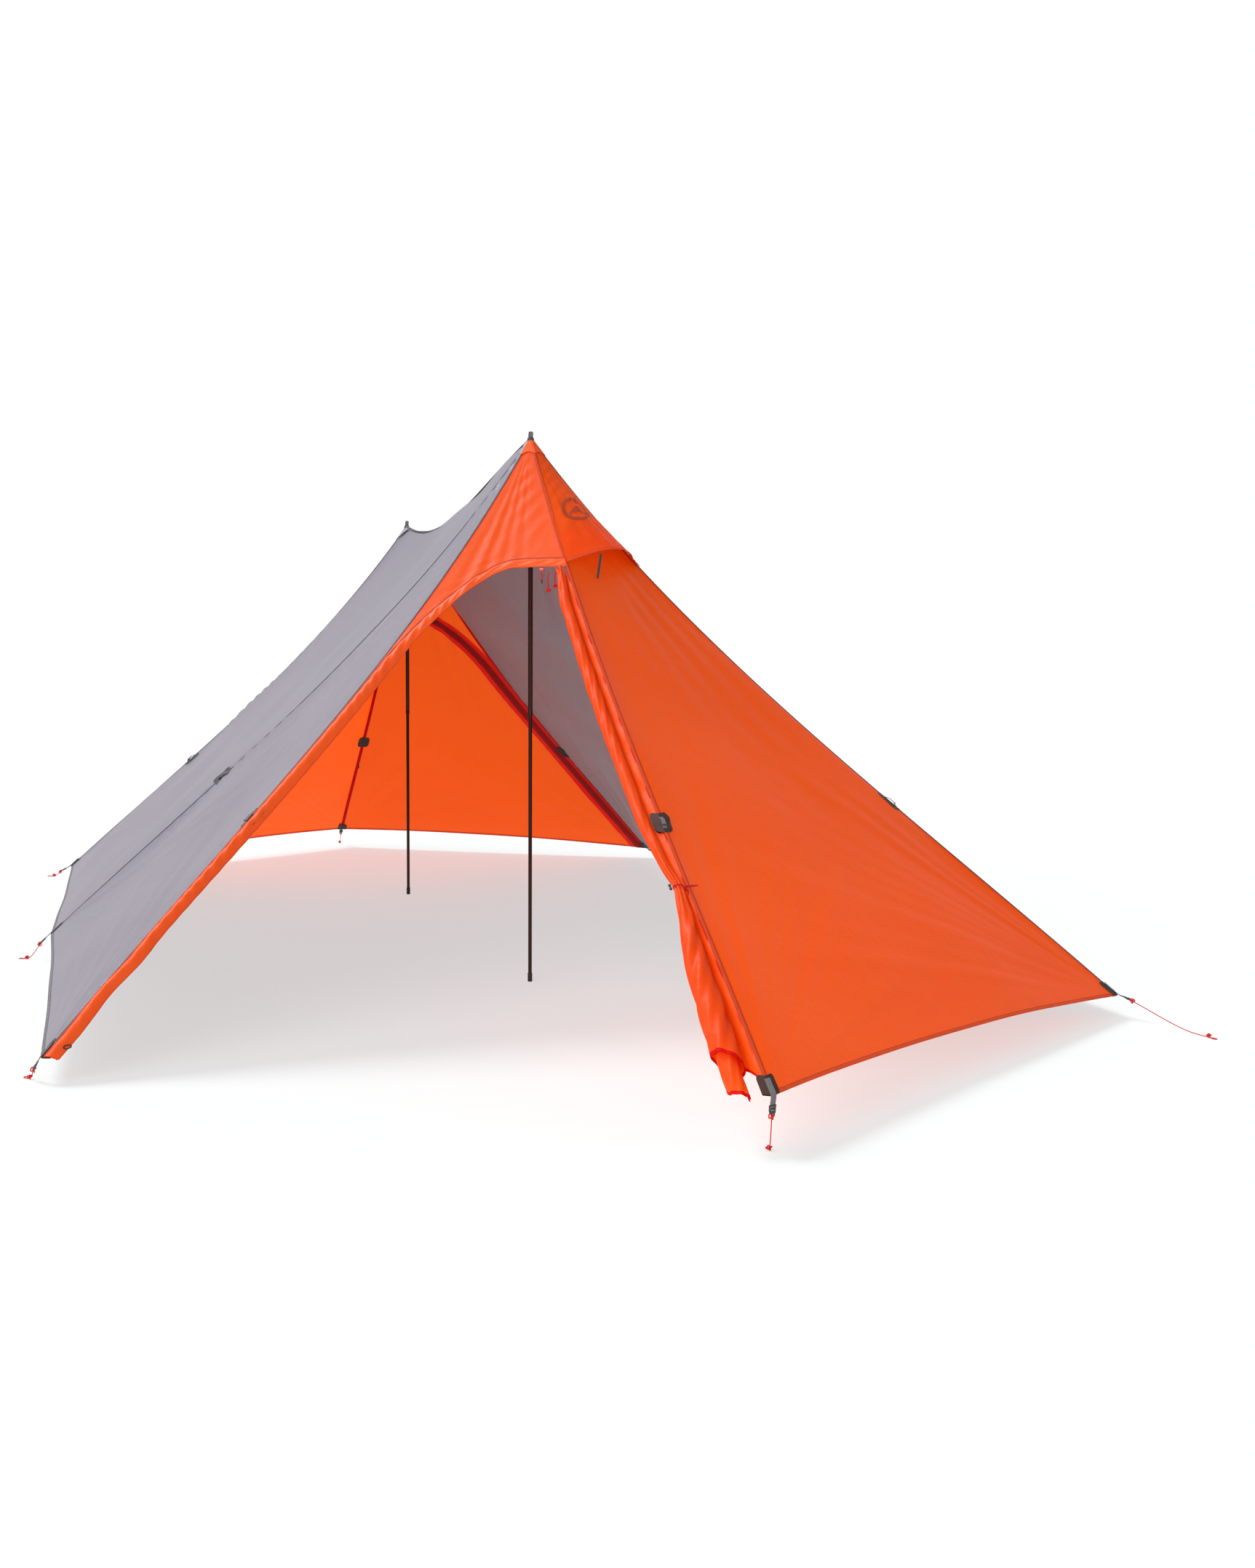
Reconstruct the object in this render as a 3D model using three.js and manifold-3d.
// A floorless six-sided tent: two upright poles under a sagging ridge, grey side walls and orange ends.
// Millimetres, +Z up. The origin is on the ground at the centre of the tent. +X points to the head end,
// where the rolled-up door and the hooded vent are. "left" is the -Y side and "right" is the +Y side.
import * as THREE from "three";
import { mergeVertices } from "three/addons/utils/BufferGeometryUtils.js";
import Module from "manifold-3d";

const wasm = await Module();
wasm.setup();

const vec = (x, y, z) => new THREE.Vector3(x, y, z);
const mix = THREE.MathUtils.lerp;
const clamp = THREE.MathUtils.clamp;

// Canopy: peaks over the poles and the staked corners of the hem.
const HEAD_PEAK = vec(735, 0, 1630);
const FOOT_PEAK = vec(-1165, 0, 1430);
const HEAD_APEX = vec(2765, 0, 127);
const HEAD_CORNER = vec(1690, 1446, 62);
const MID_CORNER = vec(-25, 1374, 85);
const FOOT_CORNER = vec(-2010, 1240, 45);
const FOOT_APEX = vec(-2765, 0, 82);
const SEAM_SAG = 0.027; // of the seam's length
const SEAM_SKEW = 0.6; // more of the sag is near the peak
const HEM_SAG = 0.016; // of the hem's length
const RIDGE_SAG = 80;
const RIDGE_SKEW = 0.7;
const FABRIC = 2.5; // thickness that stands for the thin fabric
const SEAM_MARGIN = 3;
const CAP_LENGTH = 70;
const CAP_GAP = 5;
const CAP_DEPTH = 4;

// Arched doors and their flaps, measured down the panel and across from the seam.
const ARCH_TOP = 0.22; // of the way from the peak to the hem
const ARCH_CORNER = 0.18;
const ARCH_SHOULDER = 170;
const LEG_TOP = 40;
const LEG_BOTTOM = 25;
const FLAP_WIDTH = 26;
const FLAP_THICKNESS = 1.4;
const LAYER_GAP = 0.5;
const DOOR_GAP = 4;
const FOOT_HINGE_MARGIN = 14;

// Hooded vent across the head end's right panel.
const VENT_TOP = 0.165;
const BRIM = 0.215;
const BRIM_RISE = 62;

// Poles.
const UPPER_TUBE_RADIUS = 7;
const UPPER_BORE_RADIUS = 6.2;
const LOWER_TUBE_RADIUS = 5.6;
const LOWER_BORE_RADIUS = 4.8;
const TUBE_OVERLAP = 90;
const PEAK_CLEARANCE = 17;
const FOOT_TIP_RADIUS = 7;
const FOOT_TIP_HEIGHT = 26;
const POLE_SIDES = 20;

// Tie-out points and guy lines.
const PATCH_HALF_WIDTH = 25;
const PATCH_BESIDE_DOOR = 5; // its half width on the side of a door or its flap
const PATCH_GAP = 1;
const PATCH_LENGTH = 54;
const PATCH_THICKNESS = 1.4;
const TIE_OUT = 0.645; // of the way down each seam
const WEBBING_WIDTH = 13;
const WEBBING_THICKNESS = 2;
const LOOP_LENGTH = 30;
const LOOP_HEIGHT = 13;
const TAIL_LENGTH = 24;
const PIVOT_GAP = 1.5;
const TENSIONER_LENGTH = 20;
const TENSIONER_WIDTH = 17;
const TENSIONER_THICKNESS = 4.6;
const CORD_RADIUS = 1.2;
const CORD_GAP = 0.3;
const CORD_ON_GROUND = 1.6; // height of a cord's centre line where it lies on the ground
const CORD_STEP = 6 * CORD_RADIUS;

const materials = {
  grey: new THREE.MeshStandardMaterial({ color: 0x9a979d, roughness: 0.55, metalness: 0 }),
  orange: new THREE.MeshStandardMaterial({ color: 0xf55b28, roughness: 0.5, metalness: 0 }),
  red: new THREE.MeshStandardMaterial({ color: 0xc4281a, roughness: 0.6, metalness: 0 }),
  cord: new THREE.MeshStandardMaterial({ color: 0xd8352a, roughness: 0.8, metalness: 0 }),
  webbing: new THREE.MeshStandardMaterial({ color: 0x55504f, roughness: 0.85, metalness: 0 }),
  plastic: new THREE.MeshStandardMaterial({ color: 0x4c4a4b, roughness: 0.45, metalness: 0 }),
  pole: new THREE.MeshStandardMaterial({ color: 0x2b1a15, roughness: 0.35, metalness: 0.6 }),
  rubber: new THREE.MeshStandardMaterial({ color: 0x17120f, roughness: 0.8, metalness: 0 }),
};

const group = new THREE.Group();

function add(name, geometry, material, matrix) {
  const mesh = new THREE.Mesh(geometry, materials[material].clone());
  mesh.name = name;
  if (matrix) mesh.applyMatrix4(matrix);
  group.add(mesh);
  return mesh;
}

// ---- closed solids ----

// A closed surface from points and triangles, turned so that its faces point outwards.
function closed(points, triangles) {
  const volume = triangles.reduce((sum, [a, b, c]) => {
    const cross = points[b].clone().cross(points[c]);
    return sum + points[a].dot(cross);
  }, 0);
  const order = volume < 0 ? triangles.map(([a, b, c]) => [a, c, b]) : triangles;
  const geometry = new THREE.BufferGeometry().setFromPoints(points);
  geometry.setIndex(order.flat());
  geometry.computeVertexNormals();
  return geometry;
}

// A sheet of even thickness about a grid of points.
function sheet(rows, thickness) {
  const count = rows.length;
  const width = rows[0].length;
  const at = (i, j) => rows[clamp(i, 0, count - 1)][clamp(j, 0, width - 1)];
  const points = [];
  for (const side of [1, -1])
    for (let i = 0; i < count; i++)
      for (let j = 0; j < width; j++) {
        const down = at(i + 1, j).clone().sub(at(i - 1, j));
        const across = at(i, j + 1).clone().sub(at(i, j - 1));
        const normal = across.cross(down).normalize();
        points.push(rows[i][j].clone().addScaledVector(normal, (side * thickness) / 2));
      }
  const top = (i, j) => i * width + j;
  const under = (i, j) => count * width + top(i, j);
  const triangles = [];
  const quad = (a, b, c, d) => triangles.push([a, b, c], [a, c, d]);
  for (let i = 0; i + 1 < count; i++)
    for (let j = 0; j + 1 < width; j++) {
      quad(top(i, j), top(i, j + 1), top(i + 1, j + 1), top(i + 1, j));
      quad(under(i, j), under(i + 1, j), under(i + 1, j + 1), under(i, j + 1));
    }
  for (let i = 0; i + 1 < count; i++) {
    quad(top(i, 0), top(i + 1, 0), under(i + 1, 0), under(i, 0));
    quad(top(i + 1, width - 1), top(i, width - 1), under(i, width - 1), under(i + 1, width - 1));
  }
  for (let j = 0; j + 1 < width; j++) {
    quad(top(0, j + 1), top(0, j), under(0, j), under(0, j + 1));
    quad(top(count - 1, j), top(count - 1, j + 1), under(count - 1, j + 1), under(count - 1, j));
  }
  return closed(points, triangles);
}

// A solid through rings that all have the outline's number of points.
function loft(rings, outline) {
  const n = outline.length;
  const last = (rings.length - 1) * n;
  const triangles = [];
  for (let i = 0; i + 1 < rings.length; i++)
    for (let j = 0; j < n; j++) {
      const a = i * n + j;
      const b = i * n + ((j + 1) % n);
      triangles.push([a, b, b + n], [a, b + n, a + n]);
    }
  const turn = Math.sign(THREE.ShapeUtils.area(outline));
  for (const face of THREE.ShapeUtils.triangulateShape(outline, [])) {
    const facing = Math.sign(THREE.ShapeUtils.area(face.map((i) => outline[i])));
    const [a, b, c] = facing === turn ? face : [...face].reverse();
    triangles.push([c, b, a], [last + a, last + b, last + c]);
  }
  return closed(rings.flat(), triangles);
}

function solidOf(geometry, matrix = new THREE.Matrix4()) {
  const bare = geometry.clone().applyMatrix4(matrix);
  bare.deleteAttribute("normal");
  bare.deleteAttribute("uv");
  const merged = mergeVertices(bare, 1e-4);
  const vertProperties = new Float32Array(merged.attributes.position.array);
  const triVerts = new Uint32Array(merged.index.array);
  return new wasm.Manifold(new wasm.Mesh({ numProp: 3, vertProperties, triVerts }));
}

function geometryOf(solid) {
  const mesh = solid.getMesh();
  const geometry = new THREE.BufferGeometry();
  const positions = new Float32Array(mesh.vertProperties);
  geometry.setAttribute("position", new THREE.BufferAttribute(positions, 3));
  geometry.setIndex(new THREE.BufferAttribute(new Uint32Array(mesh.triVerts), 1));
  geometry.computeVertexNormals();
  return geometry;
}

// A placement whose X and Z axes are the given directions, made square.
function frameAt(origin, x, z) {
  const xAxis = x.clone().normalize();
  const yAxis = z.clone().cross(xAxis).normalize();
  const zAxis = xAxis.clone().cross(yAxis);
  return new THREE.Matrix4().makeBasis(xAxis, yAxis, zAxis).setPosition(origin);
}

// An outline of length by width with clipped corners, as thick as depth and centred on it.
function clippedPlate(length, width, depth, clip) {
  const x = length / 2;
  const y = width / 2;
  const shape = new THREE.Shape([
    new THREE.Vector2(-x, -y + clip),
    new THREE.Vector2(-x + clip, -y),
    new THREE.Vector2(x - clip, -y),
    new THREE.Vector2(x, -y + clip),
    new THREE.Vector2(x, y - clip),
    new THREE.Vector2(x - clip, y),
    new THREE.Vector2(-x + clip, y),
    new THREE.Vector2(-x, y - clip),
  ]);
  return new THREE.ExtrudeGeometry(shape, { depth, bevelEnabled: false }).translate(0, 0, -depth / 2);
}

// ---- canopy surface ----

const mirror = (p) => vec(p.x, -p.y, p.z);

// The line of a seam from its peak (0) to its corner (1), sagging under its own tension curve.
function seamFrom(peak, corner) {
  const chord = corner.clone().sub(peak);
  const along = chord.clone().normalize();
  const down = vec(0, 0, -1).addScaledVector(along, along.z).normalize();
  const sag = SEAM_SAG * chord.length();
  return (t) => {
    const depth = sag * 4 * t * (1 - t) * (1 + SEAM_SKEW * (1 - 2 * t));
    return peak.clone().addScaledVector(chord, t).addScaledVector(down, depth);
  };
}

const corners = {
  head_apex: HEAD_APEX,
  head_left: mirror(HEAD_CORNER),
  head_right: HEAD_CORNER,
  mid_left: mirror(MID_CORNER),
  mid_right: MID_CORNER,
  foot_left: mirror(FOOT_CORNER),
  foot_right: FOOT_CORNER,
  foot_apex: FOOT_APEX,
};
const peakOf = (name) => (name.startsWith("foot") ? FOOT_PEAK : HEAD_PEAK);
const seams = {};
for (const name in corners) seams[name] = seamFrom(peakOf(name), corners[name]);

// A fabric panel between two seams. u runs from the first seam to the second, t from the peak to the hem.
class Panel {
  constructor(first, second) {
    this.a = seams[first];
    this.b = seams[second];
    this.ridged = peakOf(first) !== peakOf(second);
    const hem = this.b(1).sub(this.a(1));
    const up = this.a(0).add(this.b(0)).sub(this.a(1)).sub(this.b(1)).normalize();
    this.lift = up.multiplyScalar(HEM_SAG * hem.length());
    this.length = this.a(0).distanceTo(this.a(1));
  }

  at(u, t) {
    const point = this.a(t).lerp(this.b(t), u);
    const arc = 4 * u * (1 - u);
    point.addScaledVector(this.lift, arc * t ** 4);
    if (this.ridged) point.z -= RIDGE_SAG * arc * (1 + RIDGE_SKEW * (2 * u - 1)) * (1 - t) ** 2;
    return point;
  }

  outward(u, t) {
    const step = 0.01;
    const across = this.at(u + step, t).sub(this.at(u - step, t));
    const down = this.at(u, t + step).sub(this.at(u, t - step));
    const normal = across.cross(down).normalize();
    return normal.z < 0 ? normal.negate() : normal;
  }

  // The point x mm from the first seam (or from the second, when x is negative) at t, raised by lift.
  place(x, t, lift = 0) {
    const width = this.a(t).distanceTo(this.b(t));
    const u = x < 0 ? 1 + x / width : x / width;
    return this.at(u, t).addScaledVector(this.outward(u, t), lift);
  }
}

// Even steps from one value to another, both included.
const steps = (from, to, count) => Array.from({ length: count + 1 }, (_, i) => mix(from, to, i / count));

// A full panel, from the cap to the hem.
function panelSheet(panel, top, rowCount, columnCount) {
  const width = (t) => panel.a(t).distanceTo(panel.b(t));
  const rows = steps(top, 1, rowCount).map((t) => {
    const margin = SEAM_MARGIN / width(t);
    return steps(margin, 1 - margin, columnCount).map((u) => panel.at(u, t));
  });
  return sheet(rows, FABRIC);
}

const capEnd = (seam) => CAP_LENGTH / seam(0).distanceTo(seam(1));

function panelTop(panel) {
  const shorter = Math.min(panel.length, panel.b(0).distanceTo(panel.b(1)));
  return (CAP_LENGTH + CAP_GAP) / shorter;
}

// The ridge between the peaks; s runs from the head peak to the foot peak.
const wallLeft = new Panel("mid_left", "foot_left");
const wallRight = new Panel("mid_right", "foot_right");
const ridge = (s) => wallLeft.at(s, 0);
const RIDGE_LENGTH = HEAD_PEAK.distanceTo(FOOT_PEAK);
const ridgeCap = CAP_LENGTH / RIDGE_LENGTH;

// A rear wall hangs from the ridge. Its upper corners are cut away round the caps.
const CAP_CUT_DEPTH = 1.4; // of the cap's reach, down the wall
const CAP_CUT_WIDTH = 1.06; // of the cap's reach, along the ridge

function wallSheet(panel, rowCount, columnCount) {
  const ridgeMargin = (SEAM_MARGIN + 1) / panel.length;
  const rows = steps(ridgeMargin, 1, rowCount).map((t) => {
    const nearCap = Math.max(0, 1 - t / (CAP_CUT_DEPTH * ridgeCap));
    const margin = mix(SEAM_MARGIN / RIDGE_LENGTH, CAP_CUT_WIDTH * ridgeCap, nearCap);
    return steps(margin, 1 - margin, columnCount).map((u) => panel.at(u, t));
  });
  return sheet(rows, FABRIC);
}

// Distance of a door's arched edge from the seam beside it.
function archOffset(t) {
  const rise = (t - ARCH_TOP) / ARCH_CORNER;
  if (rise < 1) return LEG_TOP + ARCH_SHOULDER * (1 - Math.sqrt(1 - (1 - rise) ** 2));
  const legEnd = ARCH_TOP + ARCH_CORNER;
  return mix(LEG_TOP, LEG_BOTTOM, (t - legEnd) / (1 - legEnd));
}

// Rows down one leg of the arch, closer together round its shoulder.
const LEG_ROWS = 12;
const LEG_CROWDING = 1.8;
const legRows = () => steps(0, 1, LEG_ROWS).map((s) => mix(ARCH_TOP, 1, s ** LEG_CROWDING));

const ACROSS_STRIP = [0, 0.33, 0.67, 1]; // from the outer edge of an arched panel to the arch
const ALONG_TOP = [0.35, 0.7, 1]; // from the arch's shoulder to the far seam

// The fixed part of a door panel: the strip beside the arch and the triangle above it.
// side is 1 when the arch's leg is beside the first seam, and -1 beside the second.
function archSheet(panel, side) {
  const top = panelTop(panel);
  const rows = legRows().reverse().map((t) => {
    const outer = mix(top, 1, (t - ARCH_TOP) / (1 - ARCH_TOP));
    return ACROSS_STRIP.map((k) => {
      const row = mix(outer, t, k);
      const offset = mix(SEAM_MARGIN, archOffset(t), k);
      return panel.place(side * offset, row);
    });
  });
  const lastSpan = panel.at(0, ARCH_TOP).distanceTo(panel.at(1, ARCH_TOP)) - SEAM_MARGIN;
  const topSpan = panel.at(0, top).distanceTo(panel.at(1, top)) - SEAM_MARGIN;
  for (const s of ALONG_TOP)
    rows.push(
      ACROSS_STRIP.map((k) => {
        const start = mix(SEAM_MARGIN, archOffset(ARCH_TOP), k);
        const end = mix(topSpan, lastSpan, k);
        return panel.place(side * mix(start, end, s), mix(top, ARCH_TOP, k));
      }),
    );
  return sheet(rows, FABRIC);
}

// The flap over the zip, sewn above the arch's edge.
const FLAP_TOP_SHARE = 0.55; // of its width that lies across the panel at the top of the arch
const FLAP_TURN = 1.5; // how late it turns from lying above the arch to lying beside it
const FLAP_FROM_SEAM = 9; // nearest that its outer edge comes to the seam beside it
const FLAP_END_GAP = 12; // between its end and the far seam
const FLAP_END_SLANT = 4;

function flapSheet(panel, side) {
  const lift = FABRIC / 2 + LAYER_GAP + FLAP_THICKNESS / 2;
  const flapDrop = FLAP_WIDTH / panel.length;
  const rows = legRows().reverse().map((t) => {
    const inner = archOffset(t);
    const rise = clamp((t - ARCH_TOP) / ARCH_CORNER, 0, 1);
    const outer = Math.max(inner - FLAP_WIDTH * mix(FLAP_TOP_SHARE, 1, rise), FLAP_FROM_SEAM);
    const outerRow = t - flapDrop * (1 - rise) ** FLAP_TURN;
    return [panel.place(side * outer, outerRow, lift), panel.place(side * inner, t, lift)];
  });
  const span = panel.at(0, ARCH_TOP).distanceTo(panel.at(1, ARCH_TOP)) - FLAP_END_GAP;
  const start = archOffset(ARCH_TOP);
  const outerStart = start - FLAP_WIDTH * FLAP_TOP_SHARE;
  for (const s of ALONG_TOP) {
    const outer = mix(outerStart, span - FLAP_END_SLANT, s);
    const upper = panel.place(side * outer, ARCH_TOP - flapDrop, lift);
    rows.push([upper, panel.place(side * mix(start, span, s), ARCH_TOP, lift)]);
  }
  return sheet(rows, FLAP_THICKNESS);
}

// The door that fills the arch. It is hung on the first seam and its leg is beside the second.
const DOOR_COLUMNS = 5;

function doorSheet(panel) {
  const drop = DOOR_GAP / panel.length;
  const rows = legRows().map((edge) => {
    const t = Math.min(edge + drop, 1);
    const free = panel.a(t).distanceTo(panel.b(t)) - archOffset(edge) - DOOR_GAP;
    return steps(FOOT_HINGE_MARGIN, free, DOOR_COLUMNS).map((x) => panel.place(x, t));
  });
  return sheet(rows, FABRIC);
}

// A reinforced cap over a pole, from the peak to a ring of points along the seams and the ridge.
function capSolid(peak, ring) {
  const drop = vec(0, 0, -CAP_DEPTH);
  const points = [peak, ...ring, peak.clone().add(drop), ...ring.map((p) => p.clone().add(drop))];
  const n = ring.length;
  const triangles = [];
  for (let i = 0; i < n; i++) {
    const a = 1 + i;
    const b = 1 + ((i + 1) % n);
    const under = n + 1;
    triangles.push([0, a, b], [under, under + b, under + a], [a, a + under, b + under], [a, b + under, b]);
  }
  return closed(points, triangles);
}

// The webbing ring sewn on top of a cap. It stands along X.
const LOOP_RISE = 7;
const PEAK_LOOP_RADIUS = 11;
const PEAK_LOOP_HOLE = 7.5;
const PEAK_LOOP_WIDTH = 10;

function peakLoop(peak) {
  const outline = new THREE.Shape().absarc(0, 0, PEAK_LOOP_RADIUS, 0, 2 * Math.PI, false);
  outline.holes.push(new THREE.Path().absarc(0, 0, PEAK_LOOP_HOLE, 0, 2 * Math.PI, true));
  const options = { depth: PEAK_LOOP_WIDTH, bevelEnabled: false, curveSegments: 8 };
  const ring = new THREE.ExtrudeGeometry(outline, options);
  const start = peak.clone().add(vec(0, PEAK_LOOP_WIDTH / 2, LOOP_RISE));
  const place = frameAt(start, vec(1, 0, 0), vec(0, -1, 0));
  return solidOf(ring, place);
}

// The names go round the peak. "ridge" stands for the ridge line.
function addCap(name, peak, lineNames) {
  const onRidge = peak === HEAD_PEAK ? ridgeCap : 1 - ridgeCap;
  const ring = lineNames.map((line) => {
    if (line === "ridge") return ridge(onRidge);
    return seams[line](capEnd(seams[line]));
  });
  const solid = solidOf(capSolid(peak, ring)).add(peakLoop(peak));
  add(name, geometryOf(solid), "webbing");
}

// ---- panels ----

const headLeft = new Panel("head_left", "head_apex");
const headRight = new Panel("head_apex", "head_right");
const footLeft = new Panel("foot_left", "foot_apex");
const footRight = new Panel("foot_apex", "foot_right");

for (const side of ["left", "right"]) {
  const front = new Panel("head_" + side, "mid_" + side);
  add(side + "_wall_front", panelSheet(front, panelTop(front), 8, 5), "grey");
}
add("left_wall_rear", wallSheet(wallLeft, 9, 8), "grey");
add("right_wall_rear", wallSheet(wallRight, 9, 8), "grey");
add("head_left_panel", archSheet(headLeft, 1), "orange");
add("head_storm_flap", flapSheet(headLeft, 1), "orange");
add("foot_left_panel", panelSheet(footLeft, panelTop(footLeft), 8, 5), "orange");
add("foot_right_panel", archSheet(footRight, -1), "orange");
add("foot_storm_flap", flapSheet(footRight, -1), "red");
add("foot_door", doorSheet(footRight), "orange");
const ROUND_HEAD_PEAK = ["head_apex", "head_right", "mid_right", "ridge", "mid_left", "head_left"];
const ROUND_FOOT_PEAK = ["foot_apex", "foot_left", "ridge", "foot_right"];
addCap("head_peak_cap", HEAD_PEAK, ROUND_HEAD_PEAK);
addCap("foot_peak_cap", FOOT_PEAK, ROUND_FOOT_PEAK);

// The vent: the lower panel starts inside the hood, whose brim stands off it.
add("head_right_panel", panelSheet(headRight, VENT_TOP, 8, 6), "orange");

const HOOD_FLARE = 1.6; // how much of the rise is near the brim
const VENT_OVERLAP = 0.03; // where the hood already stands clear, above the lower panel's top

function hoodRise(u, t) {
  const start = panelTop(headRight);
  const flare = clamp((t - start) / (BRIM - start), 0, 1) ** HOOD_FLARE;
  return BRIM_RISE * Math.sin(Math.PI * u) * flare;
}

function hoodSheet() {
  const inner = FABRIC + LAYER_GAP;
  const rows = steps(panelTop(headRight), BRIM, 6).map((t) => {
    const margin = SEAM_MARGIN / headRight.a(t).distanceTo(headRight.b(t));
    const clear = t > VENT_TOP - VENT_OVERLAP ? inner : 0;
    return steps(margin, 1 - margin, 8).map((u) =>
      headRight.at(u, t).addScaledVector(headRight.outward(u, t), hoodRise(u, t) + clear),
    );
  });
  return sheet(rows, FABRIC);
}
add("vent_hood", hoodSheet(), "orange");

// The strut stands on the lower panel and props the brim.
const STRUT_U = 0.3;
const STRUT_FOOT = 0.242;
const STRUT_PAST_BRIM = 0.004;
const STRUT_WIDTH = 8;
const STRUT_THICKNESS = 1.8;
const strutBase = headRight
  .at(STRUT_U, STRUT_FOOT)
  .addScaledVector(headRight.outward(STRUT_U, STRUT_FOOT), FABRIC / 2 + 2);
const strutTip = headRight
  .at(STRUT_U, BRIM + STRUT_PAST_BRIM)
  .addScaledVector(headRight.outward(STRUT_U, BRIM), hoodRise(STRUT_U, BRIM) + FABRIC);
{
  const run = strutTip.clone().sub(strutBase);
  const bar = new THREE.BoxGeometry(run.length(), STRUT_WIDTH, STRUT_THICKNESS);
  bar.translate(run.length() / 2, 0, 0);
  add("vent_strut", bar, "plastic", frameAt(strutBase, run, headRight.outward(STRUT_U, BRIM)));
}

// ---- rolled head door ----

// Stations down the apex seam: how far the flat strip reaches from the seam, and the roll's radius.
const ROLL_STATIONS = [
  { t: 0.232, strip: 22, radius: 20 },
  { t: 0.45, strip: 25, radius: 20 },
  { t: 0.65, strip: 33, radius: 16 },
  { t: 0.74, strip: 10, radius: 13 },
  { t: 0.85, strip: 24, radius: 28 },
  { t: 0.985, strip: 34, radius: 33 },
];
const ROLL_SIDES = 12;
const ROLL_FROM_SEAM = 40; // where the panel's normal is taken
const TIE_STATION = ROLL_STATIONS[3];

function rollOutline({ strip, radius }) {
  const centre = strip + radius;
  const half = FABRIC / 2;
  const opening = Math.asin(half / radius);
  const arc = steps(Math.PI - opening, opening - Math.PI, ROLL_SIDES).map(
    (angle) => new THREE.Vector2(centre + radius * Math.cos(angle), radius * Math.sin(angle)),
  );
  return [new THREE.Vector2(SEAM_MARGIN + 1, -half), new THREE.Vector2(SEAM_MARGIN + 1, half), ...arc];
}

function rollFrame(t) {
  const origin = seams.head_apex(t);
  const width = headLeft.a(t).distanceTo(headLeft.b(t));
  const across = headLeft.a(t).sub(origin).normalize();
  const outward = headLeft.outward(1 - ROLL_FROM_SEAM / width, t);
  return { origin, across, outward };
}

function rollRing(station) {
  const { origin, across, outward } = rollFrame(station.t);
  return rollOutline(station).map((p) =>
    origin.clone().addScaledVector(across, p.x).addScaledVector(outward, p.y),
  );
}
add("head_door", loft(ROLL_STATIONS.map(rollRing), rollOutline(ROLL_STATIONS[0])), "orange");

// A toggle is a short rod. The head door's holds the roll at its narrow station.
const HEAD_TOGGLE = { length: 20, radius: 3.4, beyondRoll: 10, lift: 4 };
const FOOT_TOGGLE = { length: 22, radius: 3.2, drop: 12, t: 0.72 };

function toggleRod({ length, radius }) {
  return new THREE.CylinderGeometry(radius, radius, length, 10);
}
{
  const { origin, across, outward } = rollFrame(TIE_STATION.t);
  const reach = TIE_STATION.strip + 2 * TIE_STATION.radius + HEAD_TOGGLE.beyondRoll;
  const centre = origin.clone().addScaledVector(across, reach).addScaledVector(outward, HEAD_TOGGLE.lift);
  const down = seams.head_apex(TIE_STATION.t + 0.02).sub(seams.head_apex(TIE_STATION.t - 0.02));
  add("head_door_toggle", toggleRod(HEAD_TOGGLE), "plastic", frameAt(centre, across, down.cross(across)));
}

// The foot door's toggle hangs on its short cord inside the apex seam.
{
  const under = seams.foot_apex(FOOT_TOGGLE.t).add(vec(0, 0, -FOOT_TOGGLE.drop));
  const shape = toggleRod(FOOT_TOGGLE).rotateX(Math.PI / 2).translate(0, 0, -FOOT_TOGGLE.length / 2);
  add("foot_door_toggle", shape, "plastic", new THREE.Matrix4().setPosition(under));
}

// ---- zips ----

const SLIDER_LENGTH = 13;
const SLIDER_WIDTH = 9;
const SLIDER_THICKNESS = 4;
const PULL_LENGTH = 34;
const PULL_WIDTH = 4;
const PULL_THICKNESS = 2.4;
const PULL_GAP = 1.5;
const HEAD_SLIDER_X = 80; // from the apex seam
const FOOT_SLIDER_T = 0.93;
const FOOT_SLIDER_END_T = 0.81;
const FOOT_SLIDER_U = 0.97;
const HEAD_SLIDER_BELOW_ARCH = 0.006;

// A slider at the given place that opens along run, and its pull, which points along hang.
function addZip(prefix, centre, run, normal, hang, pullGap) {
  const body = clippedPlate(SLIDER_LENGTH, SLIDER_WIDTH, SLIDER_THICKNESS, 2);
  add(prefix + "_zip_slider", body, "red", frameAt(centre, run, normal));
  const start = centre.clone().addScaledVector(hang, pullGap);
  const pull = clippedPlate(PULL_LENGTH, PULL_WIDTH, PULL_THICKNESS, 1).translate(PULL_LENGTH / 2, 0, 0);
  add(prefix + "_zip_pull", pull, "cord", frameAt(start, hang, normal));
}

// The head door is open, so its slider is at the top of the arch and its pull hangs in the doorway.
{
  const t = ARCH_TOP + HEAD_SLIDER_BELOW_ARCH;
  const span = headLeft.at(0, t).distanceTo(headLeft.at(1, t));
  const centre = headLeft.place(span - HEAD_SLIDER_X, t);
  const run = headLeft.at(0, t).sub(headLeft.at(1, t));
  addZip("head", centre, run, headLeft.outward(0.5, t), vec(0, 0, -1), SLIDER_WIDTH / 2 + PULL_GAP);
}

// The foot door is shut, so its slider is at the bottom of the leg and its pull lies down the fabric.
{
  const lift = FABRIC / 2 + LAYER_GAP + SLIDER_THICKNESS / 2;
  const path = (t) => footRight.place(-archOffset(t) - DOOR_GAP - SLIDER_WIDTH / 2, t, lift);
  const centre = path(FOOT_SLIDER_T);
  const run = path(FOOT_SLIDER_END_T).sub(centre);
  const down = run.clone().normalize().negate();
  const normal = footRight.outward(FOOT_SLIDER_U, FOOT_SLIDER_T);
  addZip("foot", centre, run, normal, down, SLIDER_LENGTH / 2 + PULL_GAP);
}

// ---- poles ----

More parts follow.
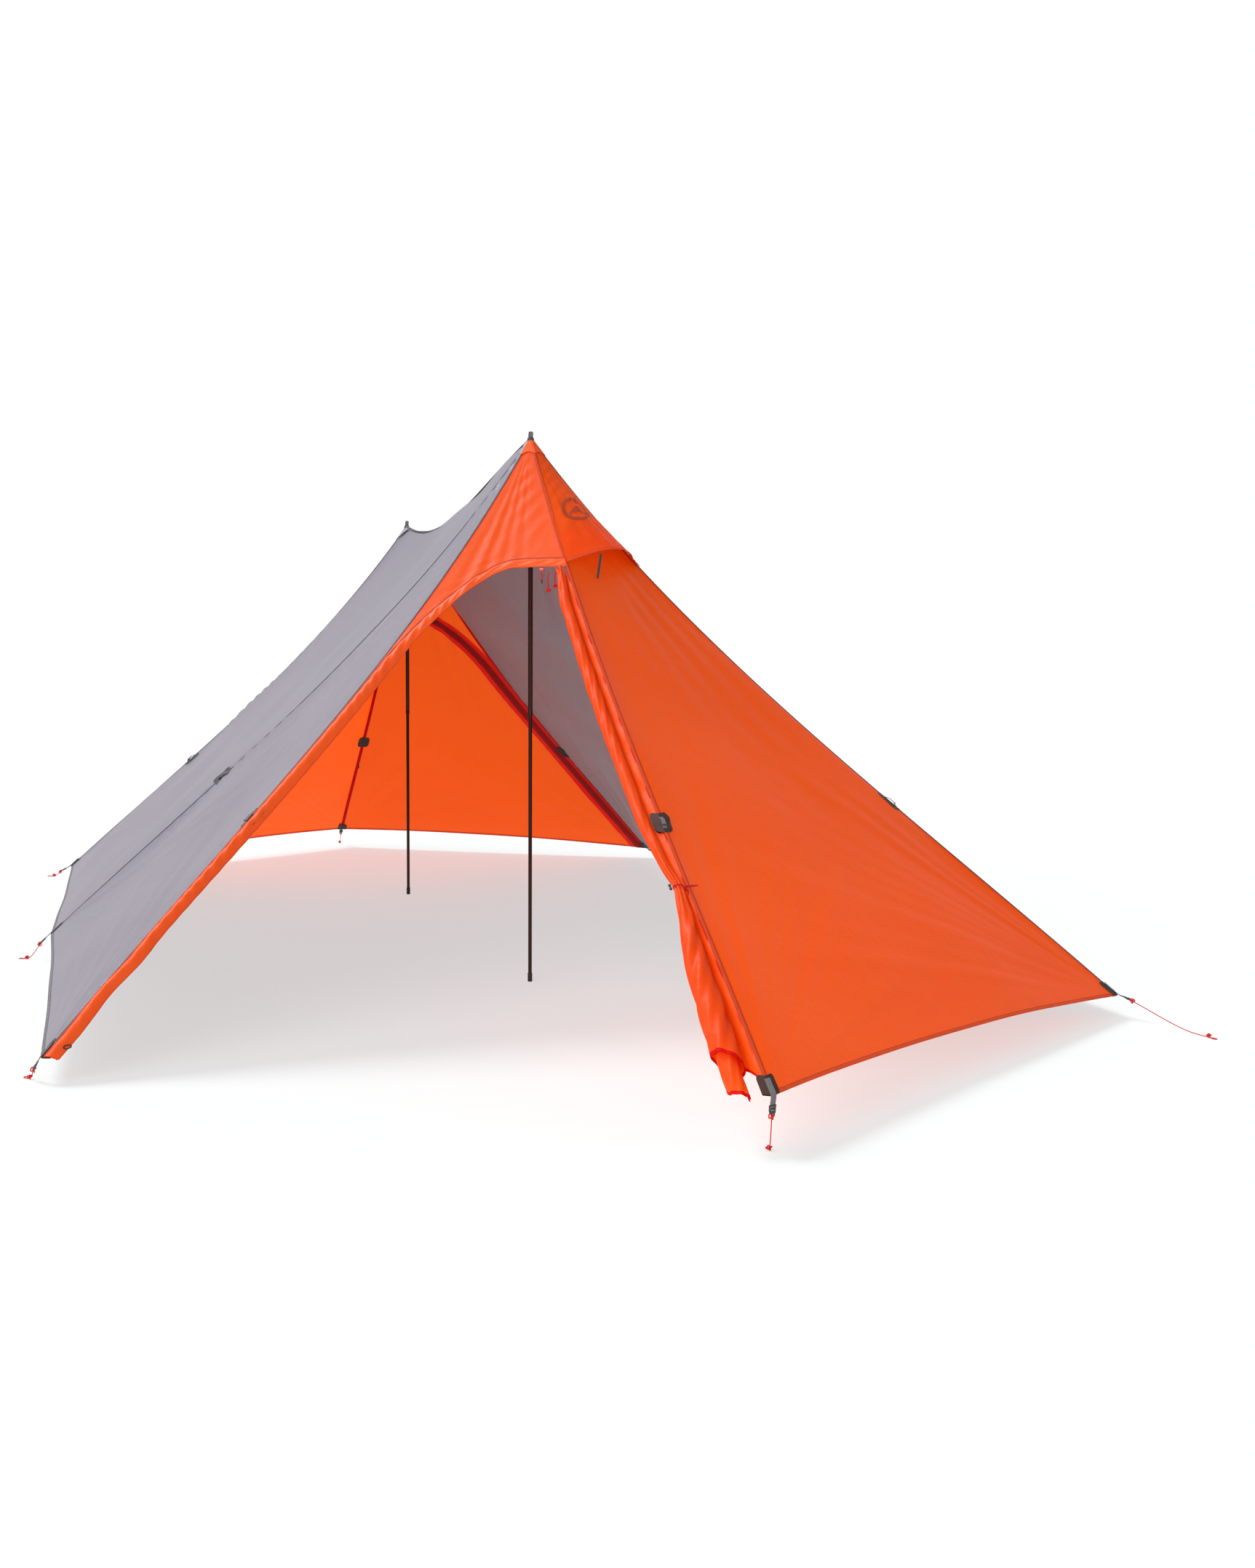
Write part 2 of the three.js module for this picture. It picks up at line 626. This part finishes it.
function ringTube(outer, inner, bottom, top) {
  const profile = [
    new THREE.Vector2(inner, bottom),
    new THREE.Vector2(outer, bottom),
    new THREE.Vector2(outer, top),
    new THREE.Vector2(inner, top),
    new THREE.Vector2(inner, bottom),
  ];
  return new THREE.LatheGeometry(profile, POLE_SIDES).rotateX(Math.PI / 2);
}

// The upper tube is closed by a rounded head, so its bore opens downwards.
const PLUG_DEPTH = 8;

function upperTube(bottom, top) {
  const crown = top - UPPER_TUBE_RADIUS;
  const profile = [
    new THREE.Vector2(0, crown - PLUG_DEPTH),
    new THREE.Vector2(UPPER_BORE_RADIUS, crown - PLUG_DEPTH),
    new THREE.Vector2(UPPER_BORE_RADIUS, bottom),
    new THREE.Vector2(UPPER_TUBE_RADIUS, bottom),
    new THREE.Vector2(UPPER_TUBE_RADIUS, crown),
    new THREE.Vector2(UPPER_TUBE_RADIUS * 0.7, crown + UPPER_TUBE_RADIUS * 0.7),
    new THREE.Vector2(0, top),
  ];
  return new THREE.LatheGeometry(profile, POLE_SIDES).rotateX(Math.PI / 2);
}

const TIP_FLOOR = 8; // thickness of rubber under the tube
const TIP_GAP = 0.3;

function tipSolid() {
  const socket = TIP_GAP + LOWER_TUBE_RADIUS;
  const profile = [
    new THREE.Vector2(0, 0),
    new THREE.Vector2(FOOT_TIP_RADIUS - 1, 0),
    new THREE.Vector2(FOOT_TIP_RADIUS, 2),
    new THREE.Vector2(FOOT_TIP_RADIUS, FOOT_TIP_HEIGHT),
    new THREE.Vector2(socket, FOOT_TIP_HEIGHT),
    new THREE.Vector2(socket, TIP_FLOOR),
    new THREE.Vector2(0, TIP_FLOOR),
  ];
  return new THREE.LatheGeometry(profile, POLE_SIDES).rotateX(Math.PI / 2);
}

function addPole(prefix, peak) {
  const top = peak.z - PEAK_CLEARANCE;
  const joint = top / 2;
  const place = new THREE.Matrix4().setPosition(peak.x, 0, 0);
  add(prefix + "_pole_upper", upperTube(joint, top), "pole", place);
  const lowerEnd = TIP_FLOOR + TIP_GAP;
  const lower = ringTube(LOWER_TUBE_RADIUS, LOWER_BORE_RADIUS, lowerEnd, joint + TUBE_OVERLAP);
  add(prefix + "_pole_lower", lower, "pole", place);
  add(prefix + "_pole_tip", tipSolid(), "rubber", place);
}
addPole("head", HEAD_PEAK);
addPole("foot", FOOT_PEAK);

// ---- tie-outs, corner webbing and guy lines ----

// The panels on either side of each seam, as the directions of their fabric away from it.
const neighbours = {
  head_apex: [headLeft, headRight],
  head_left: [new Panel("mid_left", "head_left"), headLeft],
  head_right: [headRight, new Panel("head_right", "mid_right")],
  mid_left: [wallLeft, new Panel("mid_left", "head_left")],
  mid_right: [new Panel("head_right", "mid_right"), wallRight],
  foot_left: [footLeft, wallLeft],
  foot_right: [wallRight, footRight],
  foot_apex: [footRight, footLeft],
};

// The frame of a seam at t: its point, the way down it, and the fabric's two directions and normals.
function seamFrame(name, t) {
  const origin = seams[name](t);
  const down = seams[name](t + 0.01).sub(seams[name](t - 0.01)).normalize();
  const sides = neighbours[name].map((panel) => {
    const onFirst = panel.a === seams[name];
    const besideDoor = panel === footRight || (panel === headLeft && onFirst);
    const reach = besideDoor ? PATCH_BESIDE_DOOR : PATCH_HALF_WIDTH;
    const step = reach / panel.a(t).distanceTo(panel.b(t));
    const u = onFirst ? step : 1 - step;
    const away = panel.at(u, t).sub(origin);
    away.addScaledVector(down, -away.dot(down)).normalize();
    return { away, reach, normal: panel.outward(u, t) };
  });
  const outward = sides[0].normal.clone().add(sides[1].normal).normalize();
  return { origin, down, sides, outward };
}

// A reinforcement folded over the seam, as an outline across it.
function patchRing(name, t) {
  const { origin, sides, outward } = seamFrame(name, t);
  const under = FABRIC / 2 + PATCH_GAP;
  const over = under + PATCH_THICKNESS;
  const fold = sides[0].normal.dot(outward);
  const wing = (side, lift) =>
    origin.clone().addScaledVector(side.away, side.reach).addScaledVector(side.normal, lift);
  const crest = (lift) => origin.clone().addScaledVector(outward, lift / fold);
  return [
    wing(sides[0], over),
    crest(over),
    wing(sides[1], over),
    wing(sides[1], under),
    crest(under),
    wing(sides[0], under),
  ];
}
const PATCH_OUTLINE = [
  new THREE.Vector2(-1, -0.8),
  new THREE.Vector2(0, 0.2),
  new THREE.Vector2(1, -0.8),
  new THREE.Vector2(1, -1),
  new THREE.Vector2(0, 0),
  new THREE.Vector2(-1, -1),
];

function patchSolid(name, from, to) {
  return solidOf(loft(steps(from, to, 2).map((t) => patchRing(name, t)), PATCH_OUTLINE));
}

// A webbing loop standing on a patch, open from side to side.
const LOOP_SLANT = 4; // how far its ends lean in
const LOOP_CORNER = 1.5; // more webbing in its corners

function loopSolid(frame) {
  const bar = WEBBING_THICKNESS;
  const x = LOOP_LENGTH / 2;
  const upper = x - LOOP_SLANT;
  const shape = new THREE.Shape([
    new THREE.Vector2(-x, 0),
    new THREE.Vector2(x, 0),
    new THREE.Vector2(upper, LOOP_HEIGHT),
    new THREE.Vector2(-upper, LOOP_HEIGHT),
  ]);
  const low = x - bar - LOOP_CORNER;
  const high = upper - LOOP_CORNER;
  const hole = new THREE.Path([
    new THREE.Vector2(-low, bar),
    new THREE.Vector2(-high, LOOP_HEIGHT - bar),
    new THREE.Vector2(high, LOOP_HEIGHT - bar),
    new THREE.Vector2(low, bar),
  ]);
  shape.holes.push(hole);
  const band = new THREE.ExtrudeGeometry(shape, { depth: WEBBING_WIDTH, bevelEnabled: false });
  band.translate(0, 0, -WEBBING_WIDTH / 2);
  const side = frame.outward.clone().cross(frame.down).normalize();
  return solidOf(band, frameAt(frame.base, frame.down, side.negate()));
}

const LOOP_SUNK = 1; // so that the loop's foot joins the patch

function addTieOut(name) {
  const length = seams[name](0).distanceTo(seams[name](1));
  const half = PATCH_LENGTH / 2 / length;
  const frame = seamFrame(name, TIE_OUT);
  const crest = (FABRIC / 2 + PATCH_GAP) / frame.sides[0].normal.dot(frame.outward);
  const lift = crest + PATCH_THICKNESS / 2 - LOOP_SUNK;
  frame.base = frame.origin.clone().addScaledVector(frame.outward, lift);
  const solid = patchSolid(name, TIE_OUT - half, TIE_OUT + half).add(loopSolid(frame));
  add(name + "_tie_out", geometryOf(solid), "webbing");
}

// Where each guy line's end lies on the ground, from the corner above it.
const lineReach = {
  head_apex: vec(-40, 8, 0),
  head_left: vec(-56, -29, 0),
  head_right: vec(316, 96, 0),
  mid_left: vec(-41, -81, 0),
  mid_right: vec(-41, 81, 0),
  foot_left: vec(-32, -74, 0),
  foot_right: vec(-32, 74, 0),
  foot_apex: vec(-130, 12, 0),
};
const LOOP_ON_GROUND = 0.3; // part of the line that lies flat at its end
const TOUCH_SHARE = 0.9; // how far down the line has come where it starts to lie flat
const TAIL_START = 38; // from the corner, up the seam
const TAIL_LIFT = 0.6;
const CORNER_PATCH_TOP = PATCH_LENGTH - 6;
const CORNER_PATCH_END = 4;

// A bar of webbing from the crest of a corner patch, over the corner and out along the guy line.
function tailSolid(frame, start, corner, end, side) {
  const run = end.clone().sub(corner).normalize();
  const normalOf = (direction) => side.clone().cross(direction).normalize();
  const bend = frame.down.clone().add(run).normalize();
  const ring = (point, direction) => {
    const up = normalOf(direction).multiplyScalar(WEBBING_THICKNESS / 2);
    const wide = side.clone().multiplyScalar(WEBBING_WIDTH / 2);
    return [
      point.clone().add(wide).add(up),
      point.clone().sub(wide).add(up),
      point.clone().sub(wide).sub(up),
      point.clone().add(wide).sub(up),
    ];
  };
  const outline = [[1, 1], [-1, 1], [-1, -1], [1, -1]].map(([x, y]) => new THREE.Vector2(x, y));
  return solidOf(loft([ring(start, frame.down), ring(corner, bend), ring(end, run)], outline));
}

function addCorner(name) {
  const corner = corners[name];
  const length = seams[name](0).distanceTo(seams[name](1));
  const frame = seamFrame(name, 1 - PATCH_HALF_WIDTH / length);
  const fold = frame.sides[0].normal.dot(frame.outward);
  const crest = (FABRIC / 2 + PATCH_GAP) / fold + PATCH_THICKNESS / 2;
  const raise = (point) => point.clone().addScaledVector(frame.outward, crest + TAIL_LIFT);
  const start = raise(seams[name](1 - TAIL_START / length));
  const knee = raise(corner);
  const ground = corner.clone().add(lineReach[name]).setZ(CORD_ON_GROUND);
  const run = ground.clone().sub(knee).normalize();
  const tip = knee.clone().addScaledVector(run, TAIL_LENGTH);
  const side = run.clone().cross(frame.outward).normalize();
  const webbing = tailSolid(frame, start, knee, tip, side);
  const patch = patchSolid(name, 1 - CORNER_PATCH_TOP / length, 1 - CORNER_PATCH_END / length);
  add(name + "_webbing", geometryOf(patch.add(webbing)), "webbing");

  const normal = side.clone().cross(run).normalize();
  const middle = tip.clone().addScaledVector(run, PIVOT_GAP + TENSIONER_LENGTH / 2);
  const plate = clippedPlate(TENSIONER_LENGTH, TENSIONER_WIDTH, TENSIONER_THICKNESS, 4);
  add(name + "_tensioner", plate, "plastic", frameAt(middle, run, normal));

  const exit = tip.clone().addScaledVector(run, PIVOT_GAP + TENSIONER_LENGTH + CORD_GAP);
  const touch = exit.clone().lerp(ground, 1 - LOOP_ON_GROUND).setZ(mix(exit.z, ground.z, TOUCH_SHARE));
  const path = new THREE.CatmullRomCurve3([exit, touch, ground]);
  const section = new THREE.Shape().absarc(0, 0, CORD_RADIUS, 0, 2 * Math.PI, false);
  const cordSteps = Math.max(4, Math.round(path.getLength() / CORD_STEP));
  const options = { steps: cordSteps, extrudePath: path, curveSegments: 4 };
  const cord = new THREE.ExtrudeGeometry(section, options);
  add(name + "_guy_line", cord, "cord");
}

for (const name in corners) {
  addTieOut(name);
  addCorner(name);
}

// The origin is under the middle of everything but the guy lines.
const footprint = new THREE.Box3();
for (const mesh of group.children) {
  if (!mesh.name.endsWith("guy_line")) footprint.expandByObject(mesh, true);
}
const middle = footprint.getCenter(vec());
group.position.set(-middle.x, -middle.y, 0);

export default group;
